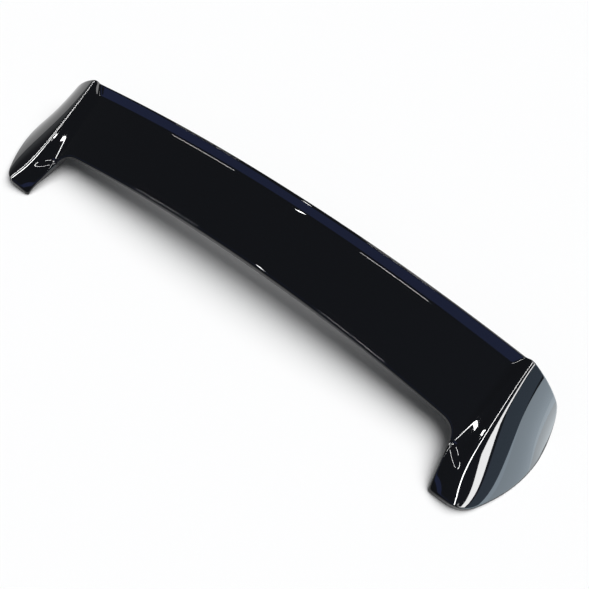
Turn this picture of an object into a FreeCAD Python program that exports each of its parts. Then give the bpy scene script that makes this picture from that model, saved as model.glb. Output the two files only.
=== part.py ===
import FreeCAD, Part
import math
import os
import Sketcher

# Rear spoiler for a hatchback's tailgate, in millimetres and degrees.
# +X is to the right, +Y is towards the rear, +Z is up. The origin is the centre of the four mounting
# inserts, on the plane that the feet stand on. The right half is modelled and mirrored.

SIZES = {
    # Arch of the blade: its section is turned about an axis far below, which leans forward
    "arch_radius": 3600,
    "arch_lean": 16.7,
    "blade_overlap": 19.7,
    # Section of the blade at the middle of the span
    "front_edge_y": 27,
    "front_edge_z": 81.8,
    "panel_depth": 123,
    "panel_angle": 19.5,
    "panel_overrun": 60,
    "blade_thickness": 14,
    "lip_depth": 21,
    "lip_angle": 34,
    "lip_edge": 10,
    "lip_rounding": 3,
    "lip_blend": 30,
    # Crest line of the end, taken above the inserts' centre, and the way it runs
    "crest_inset": 96.9,
    "crest_z": 51.4,
    "crest_slope": 20.9,
    "crest_taper": 2.6,
    # Ridge line on the inner side of the crest
    "ridge_gap": 31.3,
    "ridge_z": 45.4,
    "ridge_slope": 21.7,
    "ridge_taper": 8.1,
    # Facet that falls from the ridge to the blade, and the inner wall below it
    "facet_width": 24,
    "facet_drop": 10.7,
    "facet_least": 1,
    "wall_inset": 12,
    # Outer side of the end: its plan curve, the upright skirt at its foot and the bulge above that
    "tip_y": -105,
    "tail_y": 170,
    "fin_half_width": 608.5,
    "fin_widest_y": 70,
    "fin_plan_radius": 228,
    "skirt_tip": 12,
    "skirt_tail": 4,
    "bulge_tip": 3,
    "bulge_tail": 17,
    # Rear outline of the fin, seen from the side
    "tail_start_y": 88,
    "tail_rise": 35,
    "tail_edge_y": 161,
    "tail_edge_z": 116,
    "tail_edge_angle": 80,
    "tail_rounding": 35,
    # Outline of the front, seen from above
    "front_bow": 17,
    "toe_inset": 119.5,
    "toe_y": -94,
    "toe_width": 62,
    "toe_splay": 42,
    "toe_rounding": 14,
    "notch_flare": 8.2,
    "notch_rounding": 28,
    # Threaded inserts
    "insert_inset": 68.5,
    "insert_pitch_y": 80,
    "insert_radius": 6.5,
    "insert_length": 16,
    "insert_bore": 2.5,
    # What the end's blank has below its flat underside, and how far cuts reach past the part
    "trim_depth": 5,
    "reach": 100,
}

doc = FreeCAD.newDocument("rear_spoiler")
sheet = doc.addObject("Spreadsheet::Sheet", "Size")
for row, (alias, value) in enumerate(SIZES.items(), start=1):
    sheet.set(f"A{row}", alias)
    sheet.set(f"B{row}", str(value))
    sheet.setAlias(f"B{row}", alias)
doc.recompute()


def number(expression):
    """The value of an expression on the sheet's cells."""
    value = sheet.evalExpression(expression)
    return float(getattr(value, "Value", value))


def new_sketch(body, name, role, offset=None):
    """A sketch on one of the body's origin planes, moved along its normal by an expression."""
    sketch = body.newObject("Sketcher::SketchObject", name)
    plane = next(feature for feature in body.Origin.OriginFeatures if feature.Role == role)
    sketch.AttachmentSupport = [(plane, "")]
    sketch.MapMode = "FlatFace"
    if offset:
        sketch.setExpression("AttachmentOffset.Base.z", offset)
    return sketch


def constrain(sketch, kind, *place, expression=None):
    """Adds a constraint, whose value, if it has one, is tied to the sheet."""
    if expression is None:
        sketch.addConstraint(Sketcher.Constraint(kind, *place))
        return
    index = sketch.addConstraint(Sketcher.Constraint(kind, *place, number(expression)))
    name = "_".join([kind] + [str(part) for part in place[-2:]])
    sketch.renameConstraint(index, name)
    sketch.setExpression(f"Constraints.{name}", expression)


def pin(sketch, geometry, end, place):
    """Holds a point of the sketch at a place given by two expressions."""
    across, up = place
    constrain(sketch, "DistanceX", -1, 1, geometry, end, expression=across)
    constrain(sketch, "DistanceY", -1, 1, geometry, end, expression=up)


def spot(place):
    """A place given by two expressions, as a vector in the sketch."""
    across, up = place
    return FreeCAD.Vector(number(across), number(up), 0)


def outline(sketch, corners, roundings=None):
    """A closed outline of straight sides through corners, each a pair of expressions.

    roundings gives the radius of a rounded corner, an expression, by the corner's number.
    """
    count = len(corners)
    for index, corner in enumerate(corners):
        sketch.addGeometry(Part.LineSegment(spot(corner), spot(corners[(index + 1) % count])))
    for index, corner in enumerate(corners):
        constrain(sketch, "Coincident", (index - 1) % count, 2, index, 1)
        pin(sketch, index, 1, corner)
    for index, radius in (roundings or {}).items():
        arc = sketch.GeometryCount
        sketch.fillet(index, 1, number(radius), True, True)
        constrain(sketch, "Radius", arc, expression=radius)


def bulged_side(sketch, low, high, bulge):
    """An arc from a low place up to a high one, which stands out from the chord by the bulge."""
    start = spot(low)
    end = spot(high)
    chord = end - start
    outward = FreeCAD.Vector(chord.y, -chord.x, 0).normalize()
    middle = (start + end) / 2 + outward * number(bulge)
    return sketch.addGeometry(Part.Arc(start, middle, end))


# Places across the car, all worked out from the fin's half width
crest_x = "(Size.fin_half_width - Size.crest_inset)"
ridge_x = f"({crest_x} - Size.ridge_gap)"
toe_x = "(Size.fin_half_width - Size.toe_inset)"
insert_x = "(Size.fin_half_width - Size.insert_inset)"

# Right half of the body
half = doc.addObject("PartDesign::Body", "half_body")


def end_section(step):
    """The section of the end across the car, at one of the even steps from its tip to its tail."""
    share = f"({step} / {END_STEPS})"
    along = f"(Size.tip_y + (Size.tail_y - Size.tip_y) * {share})"
    width = f"(Size.fin_half_width - max(Size.fin_widest_y - {along}; 0)^2 / (2 * Size.fin_plan_radius))"
    skirt_height = f"(Size.skirt_tail + (Size.skirt_tip - Size.skirt_tail) * (1 - {share})^2)"
    bulge = f"(Size.bulge_tip + (Size.bulge_tail - Size.bulge_tip) * {share}^2)"
    crest = (f"({crest_x} - {along} * tan(Size.crest_taper))",
             f"(Size.crest_z + {along} * tan(Size.crest_slope))")
    ridge = (f"({ridge_x} + {along} * tan(Size.ridge_taper))",
             f"(Size.ridge_z + {along} * tan(Size.ridge_slope))")
    facet = (f"{ridge[0]} - Size.facet_width",
             f"max({ridge[1]} - Size.facet_drop; Size.facet_least)")
    wall = (f"{ridge[0]} - Size.wall_inset", "-Size.trim_depth")
    skirt = (width, skirt_height)
    sketch = new_sketch(half, f"end_section_{step}", "XZ_Plane", offset=f"-{along}")
    corners = [crest, ridge, facet, wall, (width, wall[1]), skirt]
    for index, corner in enumerate(corners[:-1]):
        sketch.addGeometry(Part.LineSegment(spot(corner), spot(corners[index + 1])))
    side = bulged_side(sketch, skirt, crest, bulge)
    count = len(corners)
    for index, corner in enumerate(corners):
        constrain(sketch, "Coincident", (index - 1) % count, 2, index, 1)
        pin(sketch, index, 1, corner)
    chord = f"(({width} - {crest[0]})^2 + ({skirt_height} - {crest[1]})^2)"
    constrain(sketch, "Radius", side, expression=f"({chord} / 4 + {bulge}^2) / (2 * {bulge})")
    return sketch


END_STEPS = 4
sections = [end_section(step) for step in range(END_STEPS + 1)]
doc.recompute()
end_loft = half.newObject("PartDesign::AdditiveLoft", "end_loft")
end_loft.Profile = sections[0]
end_loft.Sections = sections[1:]
doc.recompute()


# Flat underside and rear outline of the end, cut across the car
tail_cut = new_sketch(half, "tail_outline", "YZ_Plane")
ahead = "Size.toe_y - Size.reach"
tail_top = ("Size.tail_edge_y + Size.reach / tan(Size.tail_edge_angle)", "Size.tail_edge_z + Size.reach")
bend_up = ("((Size.tail_edge_y - Size.tail_start_y) * tan(Size.tail_edge_angle) - Size.tail_edge_z)"
           " / (tan(Size.tail_edge_angle) - tan(Size.tail_rise))")
tail_bend = (f"Size.tail_start_y + {bend_up}", f"{bend_up} * tan(Size.tail_rise)")
far = "Size.tail_edge_y + 2 * Size.reach"
tail_corners = [(ahead, "0"), ("Size.tail_start_y", "0"), tail_bend, tail_top, (far, tail_top[1]),
                (far, "-Size.reach"), (ahead, "-Size.reach")]
outline(tail_cut, tail_corners, {2: "Size.tail_rounding"})
doc.recompute()
tail_pocket = half.newObject("PartDesign::Pocket", "tail_pocket")
tail_pocket.Profile = tail_cut
tail_pocket.Type = "ThroughAll"
tail_pocket.Midplane = True
doc.recompute()

# Blade: the section at the middle of the span, turned about the far axis
blade_sketch = new_sketch(half, "blade_section", "YZ_Plane")
nose = ("Size.front_edge_y - Size.panel_overrun",
        "Size.front_edge_z - Size.panel_overrun * tan(Size.panel_angle)")
crease = ("Size.front_edge_y + Size.panel_depth",
          "Size.front_edge_z + Size.panel_depth * tan(Size.panel_angle)")
lip = (f"{crease[0]} + Size.lip_depth", f"{crease[1]} + Size.lip_depth * tan(Size.lip_angle)")
lip_under = (lip[0], f"{lip[1]} - Size.lip_edge")
crease_under = (crease[0], f"{crease[1]} - Size.blade_thickness")
nose_under = (nose[0], f"{nose[1]} - Size.blade_thickness")
outline(blade_sketch, [nose, crease, lip, lip_under, crease_under, nose_under],
        {1: "Size.lip_blend", 2: "Size.lip_rounding", 3: "Size.lip_rounding", 4: "Size.lip_blend"})
axis_near = (f"{crease[0]} - Size.arch_radius * sin(Size.arch_lean)",
             f"{crease[1]} - Size.arch_radius * cos(Size.arch_lean)")
axis_far = (f"{axis_near[0]} + Size.reach * cos(Size.arch_lean)",
            f"{axis_near[1]} - Size.reach * sin(Size.arch_lean)")
axis = blade_sketch.addGeometry(Part.LineSegment(spot(axis_near), spot(axis_far)), True)
pin(blade_sketch, axis, 1, axis_near)
pin(blade_sketch, axis, 2, axis_far)
doc.recompute()
blade = half.newObject("PartDesign::Revolution", "blade")
blade.Profile = blade_sketch
blade.ReferenceAxis = (blade_sketch, ["Axis0"])
blade.setExpression("Angle", f"asin(({ridge_x} + Size.blade_overlap) / Size.arch_radius)")
doc.recompute()

# Front outline, seen from above: bowed front edge, rounded corner, inner side of the foot and toe
front_sketch = new_sketch(half, "front_outline", "XY_Plane")
notch_x = f"({toe_x} - (Size.front_edge_y - Size.toe_y) * tan(Size.notch_flare))"
bow_radius = f"(({notch_x}^2 + Size.front_bow^2) / (2 * Size.front_bow))"
middle = ("0", "Size.front_edge_y")
notch = (notch_x, "Size.front_edge_y - Size.front_bow")
toe_inner = (toe_x, "Size.toe_y")
toe_outer = (f"{toe_x} + Size.toe_width", "Size.toe_y")
aside = (f"{toe_outer[0]} + Size.reach", "Size.toe_y + Size.reach * tan(Size.toe_splay)")
corners = [notch, toe_inner, toe_outer, aside, (aside[0], ahead), ("0", ahead), middle]
for start, end in zip(corners, corners[1:]):
    front_sketch.addGeometry(Part.LineSegment(spot(start), spot(end)))
bow_centre = spot(("0", f"Size.front_edge_y - {bow_radius}"))
bow = front_sketch.addGeometry(Part.ArcOfCircle(
    Part.Circle(bow_centre, FreeCAD.Vector(0, 0, 1), number(bow_radius)),
    math.acos(number(notch_x) / number(bow_radius)), math.pi / 2))
for index, corner in enumerate(corners[:-1]):
    pin(front_sketch, index, 1, corner)
    constrain(front_sketch, "Coincident", index, 2, *((index + 1, 1) if index < bow - 1 else (bow, 2)))
constrain(front_sketch, "Coincident", bow, 1, 0, 1)
pin(front_sketch, bow, 2, middle)
constrain(front_sketch, "Radius", bow, expression=bow_radius)
for corner in (2, 1):
    arc = front_sketch.GeometryCount
    front_sketch.fillet(corner, 1, number("Size.toe_rounding"), True, True)
    constrain(front_sketch, "Radius", arc, expression="Size.toe_rounding")
arc = front_sketch.GeometryCount
on_bow = spot((f"{notch_x} / 2", middle[1]))
front_sketch.fillet(bow, 0, on_bow, spot(toe_inner), number("Size.notch_rounding"), True, False)
constrain(front_sketch, "Radius", arc, expression="Size.notch_rounding")
constrain(front_sketch, "PointOnObject", bow, 3, -2)
sharp_notch = front_sketch.addGeometry(Part.Point(spot(notch)), True)
pin(front_sketch, sharp_notch, 1, notch)
constrain(front_sketch, "PointOnObject", sharp_notch, 1, 0)
doc.recompute()
front_pocket = half.newObject("PartDesign::Pocket", "front_pocket")
front_pocket.Profile = front_sketch
front_pocket.Type = "ThroughAll"
front_pocket.Reversed = True
doc.recompute()

# Threaded inserts, one in each corner of the bolt pattern, flush with the feet
inserts = []
insert_blanks = []
for number_x, side_x in enumerate((-1, 1)):
    for number_y, side_y in enumerate((-1, 1)):
        blank = doc.addObject("Part::Cylinder", f"insert_blank_{number_x}{number_y}")
        bore = doc.addObject("Part::Cylinder", f"insert_bore_{number_x}{number_y}")
        for cylinder, radius in ((blank, "insert_radius"), (bore, "insert_bore")):
            cylinder.setExpression("Radius", f"Size.{radius}")
            cylinder.setExpression("Height", "Size.insert_length")
            cylinder.setExpression("Placement.Base.x", f"{side_x} * {insert_x}")
            cylinder.setExpression("Placement.Base.y", f"{side_y} * Size.insert_pitch_y / 2")
        insert = doc.addObject("Part::Cut", f"insert_{number_x}{number_y}")
        insert.Base = blank
        insert.Tool = bore
        insert_blanks.append(blank)
        inserts.append(insert)
threaded_inserts = doc.addObject("Part::Compound", "threaded_inserts")
threaded_inserts.Label = "threaded_inserts"
threaded_inserts.Links = inserts

# Whole body: the right half and its mirror image, with seats for the inserts
mirrored = doc.addObject("Part::Mirroring", "left_half")
mirrored.Source = half
mirrored.Normal = FreeCAD.Vector(1, 0, 0)
whole = doc.addObject("Part::Fuse", "whole_body")
whole.Base = half
whole.Tool = mirrored
whole.Refine = True
seats = doc.addObject("Part::MultiFuse", "insert_seats")
seats.Shapes = insert_blanks
spoiler_body = doc.addObject("Part::Cut", "spoiler_body")
spoiler_body.Label = "spoiler_body"
spoiler_body.Base = whole
spoiler_body.Tool = seats
doc.recompute()

# Nothing is written unless every object came out whole
for item in doc.Objects:
    if "Invalid" in item.State or "Error" in item.State:
        raise RuntimeError(f"{item.Label} failed: {item.State}")
os.makedirs("parts", exist_ok=True)
for node in (spoiler_body, threaded_inserts):
    if node.Shape.isNull() or not node.Shape.isValid():
        raise RuntimeError(f"{node.Label} has no valid shape")
    node.Shape.exportStep(f"parts/{node.Label}.step")
    print(node.Label, len(node.Shape.Solids), "solids", len(node.Shape.Faces), "faces",
          round(node.Shape.Volume / 1000), "cm3")
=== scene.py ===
# %% [markdown]
# A rear spoiler in gloss black paint lies on a pale floor: an arched blade with a kicked-up lip, moulded in
# one with two feet whose outer sides fall away as curved fins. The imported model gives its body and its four
# threaded inserts, in metres. This script makes the body's smooth outer skin, the finishes, the floor, the
# lamps and the camera.

# %% Load the frame
import math
import bmesh
import bpy
import numpy as np
from mathutils import Matrix, Quaternion, Vector


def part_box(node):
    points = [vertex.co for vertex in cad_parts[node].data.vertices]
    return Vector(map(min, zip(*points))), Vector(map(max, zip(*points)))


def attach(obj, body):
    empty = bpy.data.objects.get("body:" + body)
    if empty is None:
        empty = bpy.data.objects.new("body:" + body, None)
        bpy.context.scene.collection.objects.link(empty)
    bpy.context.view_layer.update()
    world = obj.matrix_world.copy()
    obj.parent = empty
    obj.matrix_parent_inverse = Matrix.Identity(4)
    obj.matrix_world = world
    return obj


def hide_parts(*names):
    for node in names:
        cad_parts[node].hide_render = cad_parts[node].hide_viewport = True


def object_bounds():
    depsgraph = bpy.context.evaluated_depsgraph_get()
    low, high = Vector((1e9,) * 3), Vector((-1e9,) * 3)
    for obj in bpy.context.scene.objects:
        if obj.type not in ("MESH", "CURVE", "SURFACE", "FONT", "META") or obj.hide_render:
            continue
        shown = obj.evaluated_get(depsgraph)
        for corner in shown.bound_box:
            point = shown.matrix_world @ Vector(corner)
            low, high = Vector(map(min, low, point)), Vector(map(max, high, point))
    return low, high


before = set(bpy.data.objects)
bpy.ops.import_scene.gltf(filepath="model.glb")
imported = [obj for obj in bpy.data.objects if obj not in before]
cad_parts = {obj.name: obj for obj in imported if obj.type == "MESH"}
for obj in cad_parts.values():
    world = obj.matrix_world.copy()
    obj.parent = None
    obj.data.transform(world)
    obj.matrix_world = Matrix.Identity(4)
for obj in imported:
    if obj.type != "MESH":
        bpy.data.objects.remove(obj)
cad_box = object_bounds()
MM = 0.001
print("nodes", sorted(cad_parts), "box", cad_box)


# %% [markdown]
# Materials are node graphs. Colours are written as sRGB hex values, the way a paint chart gives them,
# and Cycles computes in linear light, so one function converts them. A second small function adds a
# node with its settings and links, which keeps each graph readable.

# %% Helpers for materials
def linear(hex_colour):
    """An sRGB hex colour as linear RGBA."""
    channels = [int(hex_colour[i:i + 2], 16) / 255 for i in (1, 3, 5)]
    return [c / 12.92 if c <= 0.04045 else ((c + 0.055) / 1.055) ** 2.4 for c in channels] + [1.0]


def add_node(tree, kind, settings=None, sockets=None, links=None):
    """Adds a node, sets its properties and socket values, and links other nodes' outputs into it."""
    node = tree.nodes.new(kind)
    for name, value in (settings or {}).items():
        setattr(node, name, value)
    for name, value in (sockets or {}).items():
        node.inputs[name].default_value = value
    for name, output in (links or {}).items():
        tree.links.new(output, node.inputs[name])
    return node


def new_material(name):
    """An empty node material and its tree."""
    material = bpy.data.materials.new(name)
    material.use_nodes = True
    material.node_tree.nodes.clear()
    return material, material.node_tree


print("middle grey in linear light", round(linear("#808080")[0], 3))


# %% [markdown]
# The body is ABS plastic, sprayed black and then clear-coated. To the eye that is two layers: a black
# with a trace of blue that gives back almost no light, and over it a hard, mirror-smooth lacquer of
# index 1.5. One glossy shader could stand for both, but the Principled shader's coat keeps the lacquer
# apart, so that only it carries the waves. Sprayed lacquer is never quite flat: it settles in low waves a
# few millimetres across, called orange peel, which make reflections swim a little.

# %% Clear-coated black paint
PEEL_WAVE = 4 * MM
PEEL_HEIGHT = 0.002 * MM


def clear_coated_black():
    """Black paint under a gloss lacquer."""
    material, tree = new_material("clear_coated_black_abs")
    place = add_node(tree, "ShaderNodeTexCoord")
    peel = add_node(tree, "ShaderNodeTexNoise", sockets={"Scale": 1 / PEEL_WAVE, "Detail": 1.0},
                    links={"Vector": place.outputs["Object"]})
    ripple = add_node(tree, "ShaderNodeBump", sockets={"Strength": 1.0, "Distance": PEEL_HEIGHT},
                      links={"Height": peel.outputs["Fac"]})
    paint = add_node(tree, "ShaderNodeBsdfPrincipled",
                     sockets={"Base Color": linear("#06070A"), "Roughness": 0.35, "IOR": 1.5,
                              "Specular IOR Level": 0.0, "Coat Weight": 1.0, "Coat Roughness": 0.02,
                              "Coat IOR": 1.5},
                     links={"Coat Normal": ripple.outputs["Normal"]})
    add_node(tree, "ShaderNodeOutputMaterial", links={"Surface": paint.outputs["BSDF"]})
    return material


black_paint = clear_coated_black()
print("made", black_paint.name)


# %% [markdown]
# The inserts are turned from brass bar. A lathe tool leaves fine marks, so the metal is slightly rough and
# its colour varies a little. A soft noise stands for the marks. It is coarser than real ones, which would
# be too fine to show.

# %% Turned brass
TOOL_MARK = 1.5 * MM


def turned_brass():
    """Brass as it leaves the lathe."""
    material, tree = new_material("turned_brass")
    place = add_node(tree, "ShaderNodeTexCoord")
    marks = add_node(tree, "ShaderNodeTexNoise", sockets={"Scale": 1 / TOOL_MARK, "Detail": 3.0},
                     links={"Vector": place.outputs["Object"]})
    tone = add_node(tree, "ShaderNodeMix", settings={"data_type": "RGBA"},
                    links={"Factor": marks.outputs["Fac"]})
    tone.inputs["A"].default_value = linear("#B08B45")
    tone.inputs["B"].default_value = linear("#C7A55C")
    brass = add_node(tree, "ShaderNodeBsdfPrincipled", sockets={"Metallic": 1.0, "Roughness": 0.32},
                     links={"Base Color": tone.outputs["Result"]})
    add_node(tree, "ShaderNodeOutputMaterial", links={"Surface": brass.outputs["BSDF"]})
    return material


insert_brass = turned_brass()
for name, material in (("spoiler_body", black_paint), ("threaded_inserts", insert_brass)):
    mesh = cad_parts[name].data
    mesh.materials.clear()
    mesh.materials.append(material)
print("painted", sorted(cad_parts))


# %% [markdown]
# The body is one moulding, and its gloss shows every bump, so it gets a clean, dense mesh of its own. It
# could be bevelled out of blocks, but bevels pinch where curved edges meet, and a mirror finish shows
# that. Each of the body's two skins, the top and the underside, has one height over each point of the
# floor. So a flat grid is laid out in the spoiler's plan, bent round from the middle of the blade into the
# foot, and its points are lifted to a height that a formula gives. Sizes are in millimetres and rises are
# tangents of slopes, with x along the span from the middle, y to the rear and z up.

# %% Sizes of the blade
ARCH_RADIUS, ARCH_LEAN = 3600, math.radians(16.7)
FRONT_Y, FRONT_Z, FRONT_BOW = 27, 81.8, 17
PANEL_DEPTH, PANEL_RISE = 123, math.tan(math.radians(19.5))
LIP_DEPTH, LIP_RISE, LIP_EDGE = 21, math.tan(math.radians(34)), 10
THICKNESS = 14
print("blade depth", PANEL_DEPTH + LIP_DEPTH, "mm")


# %% [markdown]
# Seen from above, each end has a roof between two edges: the ridge on the inside, from which a facet dips
# to the panel, and the crest on the outside, from which the fin falls in an arc to its lower edge, the
# skirt. The fin's rear edge is the tail. The foot runs forward to its toe, and the rounded corner between
# foot and blade is the notch. Ridge and crest are given where y is 0.

# %% Sizes of the end
CREST_X, CREST_Z = 511.6, 51.4
CREST_RISE, CREST_TAPER = math.tan(math.radians(20.9)), math.tan(math.radians(1.4))
RIDGE_X, RIDGE_Z = 480.3, 45.4
RIDGE_RISE, RIDGE_TAPER = math.tan(math.radians(21.7)), math.tan(math.radians(8.1))
FACET_WIDTH, FACET_DROP = 24, 10.7
WALL_OUTSET = 20
TIP_Y, TAIL_Y = -105, 170
FIN_X, FIN_WIDEST_Y, FIN_PLAN_RADIUS = 608.5, 70, 228
SKIRT_TIP, SKIRT_TAIL = 12, 4
BULGE_TIP, BULGE_TAIL = 3, 15
TAIL_START_Y, TAIL_RISE = 94, math.tan(math.radians(35))
TAIL_EDGE_Y, TAIL_EDGE_Z, TAIL_EDGE_RISE = 161, 116, math.tan(math.radians(80))
NOTCH = (467, 9)
TOE_INNER, TOE_OUTER = (488, -94), (551, -94)
print("overall width", 2 * FIN_X, "mm")


# %% [markdown]
# Two surfaces that meet in a crease are joined by taking the lower or the higher of their heights. A soft
# minimum or maximum rounds the crease, the way filler and sanding round it on a pattern. The blade is an
# arch that leans back, with a panel that climbs to the rear and a steeper lip behind it.

# %% Heights of the blade
LIP_BLEND = 1.2


def soft_min(a, b, width):
    """The lower of two heights, blended where they differ by less than the width."""
    near = np.maximum(width - np.abs(a - b), 0)
    return np.minimum(a, b) - near ** 2 / (4 * width)


def soft_max(a, b, width):
    """The higher of two heights, blended where they differ by less than the width."""
    return -soft_min(-a, -b, width)


def blade_heights(x, y):
    """Top and underside of the arched blade with its kicked-up lip."""
    droop = x ** 2 / (2 * ARCH_RADIUS)
    back = y + droop * math.sin(ARCH_LEAN) - FRONT_Y
    crown = FRONT_Z - droop * math.cos(ARCH_LEAN)
    past_crease = back - PANEL_DEPTH
    crease = crown + PANEL_DEPTH * PANEL_RISE
    under_rise = LIP_RISE + (THICKNESS - LIP_EDGE) / LIP_DEPTH
    top = soft_max(crown + back * PANEL_RISE, crease + past_crease * LIP_RISE, LIP_BLEND)
    under = soft_max(crown + back * PANEL_RISE, crease + past_crease * under_rise, LIP_BLEND) - THICKNESS
    return top, under


print("middle of the rear edge at", blade_heights(0, FRONT_Y + PANEL_DEPTH + LIP_DEPTH), "mm")


# %% [markdown]
# The end is the lowest of facet, roof and fin, and the blade fades into it. Its roof is slightly hollow,
# which sharpens the two edges beside it. Below, the foot is flat, its inner wall leans, and the tail is
# cut away in a curve.

# %% Heights of the whole
CREST_BLEND, RIDGE_BLEND, END_BLEND = 6, 1.2, 2.5
TAIL_BLEND, WALL_BLEND, LEAST_WALL = 8, 3, 4.2
BLADE_END_X, BLADE_NOSE_Y = 502, -10
HOLLOW_DEPTH, HOLLOW_START_Y, HOLLOW_SKEW, HOLLOW_RUN = 0.055, -22, 0.8, 14


def fin_section(y):
    """Crest, arc and skirt of the end's outer side, at places along the car."""
    share = np.clip((y - TIP_Y) / (TAIL_Y - TIP_Y), 0, 1)
    crest_x = CREST_X - y * CREST_TAPER
    crest_z = CREST_Z + y * CREST_RISE
    skirt_x = FIN_X - np.maximum(FIN_WIDEST_Y - y, 0) ** 2 / (2 * FIN_PLAN_RADIUS)
    skirt_z = SKIRT_TAIL + (SKIRT_TIP - SKIRT_TAIL) * (1 - share) ** 2
    bulge = BULGE_TIP + (BULGE_TAIL - BULGE_TIP) * share ** 2
    chord_x = skirt_x - crest_x
    chord_z = skirt_z - crest_z
    chord = np.hypot(chord_x, chord_z)
    radius = (chord ** 2 / 4 + bulge ** 2) / (2 * bulge)
    centre_x = (crest_x + skirt_x) / 2 + (radius - bulge) * chord_z / chord
    centre_z = (crest_z + skirt_z) / 2 - (radius - bulge) * chord_x / chord
    return crest_x, crest_z, centre_x, centre_z, radius, skirt_x


def skin_heights(x, y):
    """Top and underside of the whole right half."""
    blade_top, blade_under = blade_heights(x, y)
    crest_x, crest_z, centre_x, centre_z, radius = fin_section(y)[:5]
    ridge_x = RIDGE_X + y * RIDGE_TAPER
    ridge_z = RIDGE_Z + y * RIDGE_RISE
    facet = ridge_z + (x - ridge_x) * FACET_DROP / FACET_WIDTH
    width = np.maximum(crest_x - ridge_x, 1)
    across = np.clip((x - ridge_x) / width, 0, 1)
    along = np.clip((y - HOLLOW_START_Y + HOLLOW_SKEW * across * width) / HOLLOW_RUN, 0, 1)
    hollow = HOLLOW_DEPTH * width * 4 * across * (1 - across) * along ** 2 * (3 - 2 * along)
    roof = ridge_z + (x - ridge_x) * (crest_z - ridge_z) / width - hollow
    side = centre_z + np.sqrt(np.maximum(radius ** 2 - (x - centre_x) ** 2, 0))
    end_top = soft_min(soft_min(facet, roof, RIDGE_BLEND), side, CREST_BLEND)
    fade = np.maximum(x - BLADE_END_X, 0) + np.maximum(BLADE_NOSE_Y - y, 0)
    top = soft_max(blade_top - fade, end_top, END_BLEND)
    tail = soft_max((y - TAIL_START_Y) * TAIL_RISE,
                    TAIL_EDGE_Z + (y - TAIL_EDGE_Y) * TAIL_EDGE_RISE, TAIL_BLEND)
    wall = (ridge_z - FACET_DROP) * (ridge_x + WALL_OUTSET - x) / (FACET_WIDTH + WALL_OUTSET)
    end_under = np.maximum(np.maximum(tail, 0), wall)
    under = np.minimum(soft_min(blade_under, end_under, WALL_BLEND), top - LEAST_WALL)
    return top, np.maximum(under, 0)


print("top and underside at the crest, where y is 0", skin_heights(CREST_X, 0), "mm")


# %% [markdown]
# In plan the right half is a strip that turns a corner: from the middle of the blade out to the end,
# and then forward into the foot. One side of the strip is the front edge, the rounded notch and the
# foot's inner side. The other is the rear edge, the fin's tail and its skirt. Each is put together from a
# few lines and rounded corners.

# %% Lines of the plan
TAIL_ROUNDING = 24


def bend(start, corner, end, share):
    """Points of a rounded corner, as a curve that the corner pulls on."""
    start, corner, end = (np.array(point) for point in (start, corner, end))
    share = share[:, None]
    return start * (1 - share) ** 2 + corner * 2 * share * (1 - share) + end * share ** 2


def front_line(x):
    """The bowed front edge."""
    return np.column_stack([x, FRONT_Y - FRONT_BOW * (x / NOTCH[0]) ** 2])


def rear_line(x):
    """The bowed rear edge."""
    rear = FRONT_Y + PANEL_DEPTH + LIP_DEPTH
    return np.column_stack([x, rear - x ** 2 * math.sin(ARCH_LEAN) / (2 * ARCH_RADIUS)])


def tail_line(z):
    """The rear edge of the fin, at heights from the crest down to the skirt."""
    lower = TAIL_START_Y + z / TAIL_RISE
    upper = TAIL_EDGE_Y + (z - TAIL_EDGE_Z) / TAIL_EDGE_RISE
    y = soft_min(lower, upper, TAIL_ROUNDING)
    centre_x, centre_z, radius = fin_section(y)[2:5]
    return np.column_stack([centre_x + np.sqrt(radius ** 2 - (z - centre_z) ** 2), y])


def skirt_line(y):
    """The outer side of the foot, where it stands on the car."""
    return np.column_stack([fin_section(y)[5], y])


print("end of the front edge", front_line(np.array([NOTCH[0]]))[0], "mm")


# %% [markdown]
# Lines drawn from one side of the strip to the other will make the grid, so both sides get the same number
# of points. Most of them go to the turn and the foot, where the form bends.

# %% Two sides of the strip
LINES_BLADE, LINES_TURN, LINES_FOOT, LINES_TOE = 48, 110, 76, 18
FRONT_END_X, REAR_END_X, APEX_X, APEX_Z = 441, 483, 508, 112.2
NOTCH_END, TOE_START = (472, -15), (486.5, -87)
TOE_INNER_END, TOE_OUTER_END = (496, -94), (520, -94)
TAIL_END_Z, TAIL_LOW_Z = 26, 4.5
SKIRT_START_Y, SKIRT_END_Y = 62, -70
REAR_SHARE, CORNER_SHARE = 0.12, 0.3


def even(count):
    """Even shares from 0 up to, but not with, 1."""
    return np.arange(count) / count


turn = even(LINES_TURN)
on_rear = turn[turn < REAR_SHARE] / REAR_SHARE
on_tail = (turn[turn >= REAR_SHARE] - REAR_SHARE) / (1 - REAR_SHARE)
foot = even(LINES_FOOT)
on_corner = foot[foot < CORNER_SHARE] / CORNER_SHARE
on_skirt = (foot[foot >= CORNER_SHARE] - CORNER_SHARE) / (1 - CORNER_SHARE)
toe = 1 - (1 - np.arange(LINES_TOE + 1) / LINES_TOE) ** 2
front_end = front_line(np.array([FRONT_END_X]))[0]
tail_end, tail_low = tail_line(np.array([TAIL_END_Z, TAIL_LOW_Z]))
skirt_start, skirt_end = skirt_line(np.array([SKIRT_START_Y, SKIRT_END_Y]))
inner = np.vstack([front_line(even(LINES_BLADE) * FRONT_END_X),
                   bend(front_end, NOTCH, NOTCH_END, turn),
                   np.array(NOTCH_END) + (np.array(TOE_START) - np.array(NOTCH_END)) * foot[:, None],
                   bend(TOE_START, TOE_INNER, TOE_INNER_END, toe)])
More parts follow.
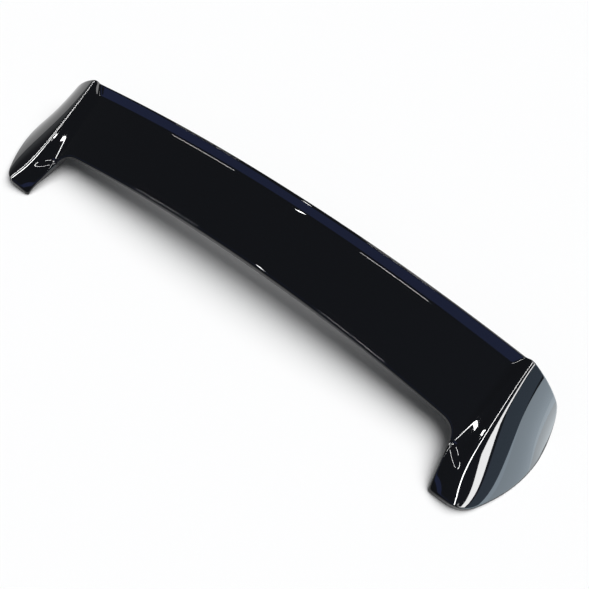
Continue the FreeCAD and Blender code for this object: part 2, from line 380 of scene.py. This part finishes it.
outer = np.vstack([rear_line(even(LINES_BLADE) * REAR_END_X),
                   rear_line(REAR_END_X + (APEX_X - REAR_END_X) * on_rear),
                   tail_line(APEX_Z + (TAIL_END_Z - APEX_Z) * on_tail),
                   bend(tail_end, tail_low, skirt_start, on_corner),
                   skirt_line(SKIRT_START_Y + (SKIRT_END_Y - SKIRT_START_Y) * on_skirt),
                   bend(skirt_end, TOE_OUTER, TOE_OUTER_END, toe)])
print("grid lines", len(inner), len(outer))


# %% [markdown]
# Moulded edges are round. They could be bevelled afterwards, but here the skin falls away near the strip's
# sides along a quarter circle, which stays even round the corners. How near a point is to a side is its
# way along the grid line, times the sine of the angle at which the line meets the side. The radii are
# given at the middle of the blade and at the ends of blade, turn, foot and toe.

# %% Rounded edges
STATIONS = np.cumsum([0, LINES_BLADE, LINES_TURN, LINES_FOOT, LINES_TOE])
TOP_INNER, TOP_OUTER = (5, 4, 3, 3, 3), (6, 3, 2, 2, 4)
UNDER_INNER, UNDER_OUTER = (4, 2, 1, 1, 1), (3, 2, 1, 1, 1)
TOP_TOE, UNDER_TOE = 4, 1
NO_LENGTH = 1e-9


def lean_of(side, lines):
    """The sine of the angle at which each grid line meets a side of the strip."""
    along = np.gradient(side, axis=0)
    cross = np.abs(along[:, 0] * lines[:, 1] - along[:, 1] * lines[:, 0])
    return cross / np.maximum(np.hypot(*along.T) * np.hypot(*lines.T), NO_LENGTH)


def fall(distance, radius):
    """How far a rounded edge has fallen at a distance from the side."""
    inside = np.clip(radius - distance, 0, radius)
    return radius - np.sqrt(np.maximum(radius ** 2 - inside ** 2, 0))


print("grid lines where the radii change", STATIONS.tolist())


# %% [markdown]
# Now the flat grid's points get their places. The grid comes from an operator, with both its coordinates
# from -1 to 1: the first says which line a point is on, the second how far along it. Points crowd together
# at both sides, where the edges are round. On the underside, the rows next to the inner side are drawn
# inwards, so that a thick edge is undercut and only a thin lip of it shows.

# %% Places of the grid's points
UNDERCUT_LIP = 6
RIM_GAP = 0.4


def laid_out(form, is_top):
    """Moves a grid's points to their places on the top or the underside."""
    lines = outer - inner
    count = len(inner) - 1
    flat = np.array([vert.co for vert in form.verts])
    row = np.rint((flat[:, 0] + 1) / 2 * count).astype(int)
    share = (1 - np.cos(np.pi * (flat[:, 1] + 1) / 2)) / 2
    plan = inner[row] + lines[row] * share[:, None]
    reach = np.hypot(*lines.T)[row]
    from_inner = reach * share * lean_of(inner, lines)[row]
    from_outer = reach * (1 - share) * lean_of(outer, lines)[row]
    from_toe = plan[:, 1] - TOE_INNER[1]

    def rounded_by(inner_radii, outer_radii, toe_radius):
        """How far the three round edges have fallen at each point, whichever is most."""
        return np.max([fall(from_inner, np.interp(row, STATIONS, inner_radii)),
                       fall(from_outer, np.interp(row, STATIONS, outer_radii)),
                       fall(from_toe, toe_radius)], axis=0)

    if not is_top:
        edge_top, edge_under = skin_heights(inner[:, 0], inner[:, 1])
        past_middle = np.clip(np.arange(count + 1) / STATIONS[1], 0, 1)
        undercut = past_middle ** 2 * np.maximum(edge_top - edge_under - UNDERCUT_LIP, 0)
        inward = lines[row] / reach[:, None]
        plan += inward * (undercut[row] * (1 - share) ** 2)[:, None]
    top, under = skin_heights(plan[:, 0], plan[:, 1])
    top = np.maximum(top - rounded_by(TOP_INNER, TOP_OUTER, TOP_TOE), RIM_GAP)
    under = np.minimum(under + rounded_by(UNDER_INNER, UNDER_OUTER, UNDER_TOE), top - RIM_GAP)
    for vert, (x, y), z in zip(form.verts, plan, top if is_top else under):
        vert.co = Vector((x, y, z)) * MM


print("thinnest edge", RIM_GAP, "mm")


# %% [markdown]
# The two skins of the right half are joined round their rim by bridging their open edges, apart from the
# ones in the middle plane. A mirror operator then makes the left half, merges the two and leaves one
# closed shell.

# %% Body
POINTS_ACROSS = 84
MERGE_GAP = 0.01 * MM


def skin(is_top):
    """One skin of the right half, as its own bmesh."""
    form = bmesh.new()
    bmesh.ops.create_grid(form, x_segments=len(inner) - 1, y_segments=POINTS_ACROSS, size=1)
    laid_out(form, is_top)
    return form


body_mesh = bpy.data.meshes.new("spoiler_skin")
body_form = bmesh.new()
for is_top in (True, False):
    part = skin(is_top)
    part.to_mesh(body_mesh)
    part.free()
    body_form.from_mesh(body_mesh)
rim = [edge for edge in body_form.edges
       if edge.is_boundary and max(vert.co.x for vert in edge.verts) > MERGE_GAP]
bmesh.ops.bridge_loops(body_form, edges=rim)
bmesh.ops.mirror(body_form, geom=body_form.verts[:] + body_form.edges[:] + body_form.faces[:], axis="X",
                 merge_dist=MERGE_GAP)
bmesh.ops.remove_doubles(body_form, verts=body_form.verts, dist=MERGE_GAP / 2)
bmesh.ops.recalc_face_normals(body_form, faces=body_form.faces)
open_edges = sum(edge.is_boundary for edge in body_form.edges)
body_form.to_mesh(body_mesh)
body_form.free()
body = bpy.data.objects.new("spoiler_skin", body_mesh)
bpy.context.scene.collection.objects.link(body)
body_mesh.materials.append(black_paint)
print("body", len(body_mesh.polygons), "faces", open_edges, "open edges")


# %% [markdown]
# The four inserts sit in round seats in the undersides of the feet, flush with them. The seats are bored
# with a Boolean cut by four cylinders of the inserts' radius, whose places and depth come from the packed
# inserts. Then every face is shaded smooth, except across edges that are meant to be sharp.

# %% Seats for the inserts
SEAT_RADIUS = 6.5 * MM
SEAT_SIDES = 48
BELOW_FOOT = 1 * MM
SHARP_ANGLE = math.radians(40)


def bored(piece, low, high):
    """A mesh of the piece with a seat bored at each corner of the inserts' box."""
    tool_mesh = bpy.data.meshes.new("seat_tool")
    tool_form = bmesh.new()
    for x in (low[0] + SEAT_RADIUS, high[0] - SEAT_RADIUS):
        for y in (low[1] + SEAT_RADIUS, high[1] - SEAT_RADIUS):
            bmesh.ops.create_cone(tool_form, cap_ends=True, segments=SEAT_SIDES, radius1=SEAT_RADIUS,
                                  radius2=SEAT_RADIUS, depth=high[2] + BELOW_FOOT,
                                  matrix=Matrix.Translation((x, y, (high[2] - BELOW_FOOT) / 2)))
    tool_form.to_mesh(tool_mesh)
    tool_form.free()
    tool = bpy.data.objects.new("seat_tool", tool_mesh)
    bpy.context.scene.collection.objects.link(tool)
    cut = piece.modifiers.new("seats", "BOOLEAN")
    cut.operation = "DIFFERENCE"
    cut.solver = "EXACT"
    cut.object = tool
    mesh = bpy.data.meshes.new_from_object(piece.evaluated_get(bpy.context.evaluated_depsgraph_get()))
    piece.modifiers.clear()
    bpy.data.objects.remove(tool)
    return mesh


body.data = bored(body, *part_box("threaded_inserts"))
body.data.name = "spoiler_skin_bored"
body.data.polygons.foreach_set("use_smooth", [True] * len(body.data.polygons))
body.data.set_sharp_from_angle(angle=SHARP_ANGLE)
body.data.calc_loop_triangles()
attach(body, "root")
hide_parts("spoiler_body")
print("body with seats", len(body.data.loop_triangles), "triangles")


# %% [markdown]
# The floor is a wide sheet of matt white, just under the feet so that the two never share a plane. A
# glowing sheet would be white too, but it would show no shadow, so this one is lit to white by a lamp.

# %% Floor
FLOOR_SIZE = 8.0
FLOOR_GAP = 0.5 * MM


def pale_floor():
    """A white floor that keeps the object's shadow."""
    material, tree = new_material("white_studio_floor")
    sheet = add_node(tree, "ShaderNodeBsdfDiffuse", sockets={"Color": linear("#F4F4F4")})
    add_node(tree, "ShaderNodeOutputMaterial", links={"Surface": sheet.outputs["BSDF"]})
    return material


floor_mesh = bpy.data.meshes.new("floor")
floor_form = bmesh.new()
bmesh.ops.create_grid(floor_form, x_segments=1, y_segments=1, size=FLOOR_SIZE / 2)
bmesh.ops.translate(floor_form, verts=floor_form.verts, vec=(0, 0, cad_box[0][2] - FLOOR_GAP))
floor_form.to_mesh(floor_mesh)
floor_form.free()
floor = bpy.data.objects.new("floor", floor_mesh)
floor_mesh.materials.append(pale_floor())
bpy.context.scene.collection.objects.link(floor)
print("floor", FLOOR_SIZE, "m wide")


# %% [markdown]
# Gloss black has almost no colour of its own: it is drawn by what it mirrors. A broad, far window lamp
# lights the floor and casts one soft shadow. All other lamps are there to be mirrored. In a studio, cards
# would keep them off the floor, where they would wash the shadow out, and here light linking does it.

# %% Kinds of lamps
TUBE_GLOW = 50
lit_pieces = bpy.data.collections.new("lit_pieces")
for piece in (body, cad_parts["threaded_inserts"]):
    lit_pieces.objects.link(piece)


def area_lamp(name, place, turned, width, height, glow, colour="#FFFFFF"):
    """A rectangular lamp that shines on the spoiler alone, with a glow in times white."""
    lamp = bpy.data.lights.new(name, "AREA")
    lamp.shape = "RECTANGLE"
    lamp.size = width
    lamp.size_y = height
    lamp.energy = glow * math.pi * width * height
    lamp.color = linear(colour)[:3]
    box = bpy.data.objects.new(name, lamp)
    box.location = place
    box.rotation_euler = turned.to_euler()
    box.light_linking.receiver_collection = lit_pieces
    bpy.context.scene.collection.objects.link(box)


def soft_box(name, direction, distance, width, height, glow, colour="#FFFFFF"):
    """A soft box in a direction from the object, facing it."""
    away = Vector(direction).normalized()
    area_lamp(name, away * distance, away.to_track_quat("Z", "Y"), width, height, glow, colour)


def tube_lamp(name, start, end, width):
    """A bright tube between two places, facing the object."""
    start, end = Vector(start), Vector(end)
    along = (end - start).normalized()
    middle = (start + end) / 2
    away = (middle - along * middle.dot(along)).normalized()
    turned = Matrix((along.cross(away), along, away)).transposed()
    area_lamp(name, middle, turned, width, (end - start).length, TUBE_GLOW)


def window_light(direction, spread, glow):
    """A far lamp that lights a floor to its glow, with a spread in degrees that softens the shadow."""
    lamp = bpy.data.lights.new("window", "SUN")
    lamp.angle = math.radians(spread)
    lamp.energy = glow * math.pi / Vector(direction).normalized().z
    window = bpy.data.objects.new("window", lamp)
    window.rotation_euler = Vector(direction).to_track_quat("Z", "Y").to_euler()
    bpy.context.scene.collection.objects.link(window)


# %% [markdown]
# Soft boxes and a glowing card beside the fin stand where the right fin mirrors them, and a dim blue box
# over the front is mirrored in the lip. Narrow tubes under the ceiling draw thin bright lines along the
# crests, ridges and creases. None hangs where the camera would find it in the flat panel, which stays
# black.

# %% Lamps
CEILING = 2.2
FACING_UP, FACING_DOWN = Quaternion((1, 0, 0), math.pi), Quaternion()
window_light(direction=(0.32, 0.36, 0.88), spread=60, glow=1.0)
soft_box("fin_box", direction=(0.95, 0.07, 0.12), distance=0.96, width=1.2, height=0.24, glow=6.0,
         colour="#D2E2EE")
area_lamp("floor_card", place=(0.79, 0.30, 1 * MM), turned=FACING_UP, width=0.32, height=0.64, glow=5.0,
          colour="#D8E2E8")
soft_box("slate_box", direction=(0.90, 0.02, 0.44), distance=2.1, width=1.6, height=0.46, glow=1.6,
         colour="#8FA6BC")
soft_box("crest_box", direction=(0.78, -0.12, 0.61), distance=2.4, width=1.3, height=0.24, glow=20)
area_lamp("lip_box", place=(-1.2, -1.6, CEILING), turned=FACING_DOWN, width=4.6, height=0.5, glow=0.9,
          colour="#6A80D8")
tube_lamp("ridge_tube", start=(-0.78, -0.63, CEILING), end=(-0.78, -1.0, CEILING), width=0.04)
tube_lamp("crest_tube", start=(1.08, 0.0, CEILING), end=(1.08, -0.95, CEILING), width=0.12)
tube_lamp("left_tube", start=(-3.35, 0.0, CEILING), end=(-3.35, -0.9, CEILING), width=0.14)
tube_lamp("far_left_tube", start=(-2.6, -0.6, CEILING / 2), end=(-2.6, 0.4, CEILING / 2), width=0.05)
tube_lamp("strip_right", start=(-0.25, -0.75, CEILING), end=(0.3, -0.75, CEILING), width=0.03)
tube_lamp("strip_left", start=(-2.1, -0.75, CEILING), end=(-1.4, -0.75, CEILING), width=0.03)
print("lamps", sorted(lamp.name for lamp in bpy.data.lights))


# %% [markdown]
# The air of the room is a dim world light, a little brighter at the horizon than overhead, so that no part
# of the lacquer mirrors plain black.

# %% Air of the room
HORIZON_GLOW, OVERHEAD_GLOW = 0.35, 0.10
HORIZON_TOP = 0.25
world = bpy.data.worlds.new("studio")
world.use_nodes = True
sky = world.node_tree
sky.nodes.clear()
direction = add_node(sky, "ShaderNodeTexCoord")
parts = add_node(sky, "ShaderNodeSeparateXYZ", links={"Vector": direction.outputs["Generated"]})
climb = add_node(sky, "ShaderNodeMapRange", settings={"interpolation_type": "SMOOTHSTEP"},
                 sockets={"From Min": 0.0, "From Max": HORIZON_TOP, "To Min": HORIZON_GLOW,
                          "To Max": OVERHEAD_GLOW},
                 links={"Value": parts.outputs["Z"]})
air = add_node(sky, "ShaderNodeBackground", sockets={"Color": linear("#F2F6FA")},
               links={"Strength": climb.outputs["Result"]})
add_node(sky, "ShaderNodeOutputWorld", links={"Surface": air.outputs["Background"]})
bpy.context.scene.world = world
print("made", world.name)


# %% [markdown]
# The camera stands above the right front of the spoiler and looks down along it to the left, as in the
# photograph. Its place, turn and lens were found from the places of the spoiler's corners there.

# %% Camera
CAMERA_PLACE = (0.4770, -0.4360, 1.1741)
CAMERA_TILT, CAMERA_TURN = math.radians(28.3), math.radians(38.0)
LENS, SENSOR = 42.78, 36
camera_data = bpy.data.cameras.new("camera")
camera_data.lens = LENS
camera_data.sensor_width = SENSOR
camera = bpy.data.objects.new("camera", camera_data)
camera.location = CAMERA_PLACE
camera.rotation_euler = (CAMERA_TILT, 0, CAMERA_TURN)
bpy.context.scene.collection.objects.link(camera)
bpy.context.scene.camera = camera
bpy.context.scene.view_settings.view_transform = "Standard"
print("camera at", CAMERA_PLACE)
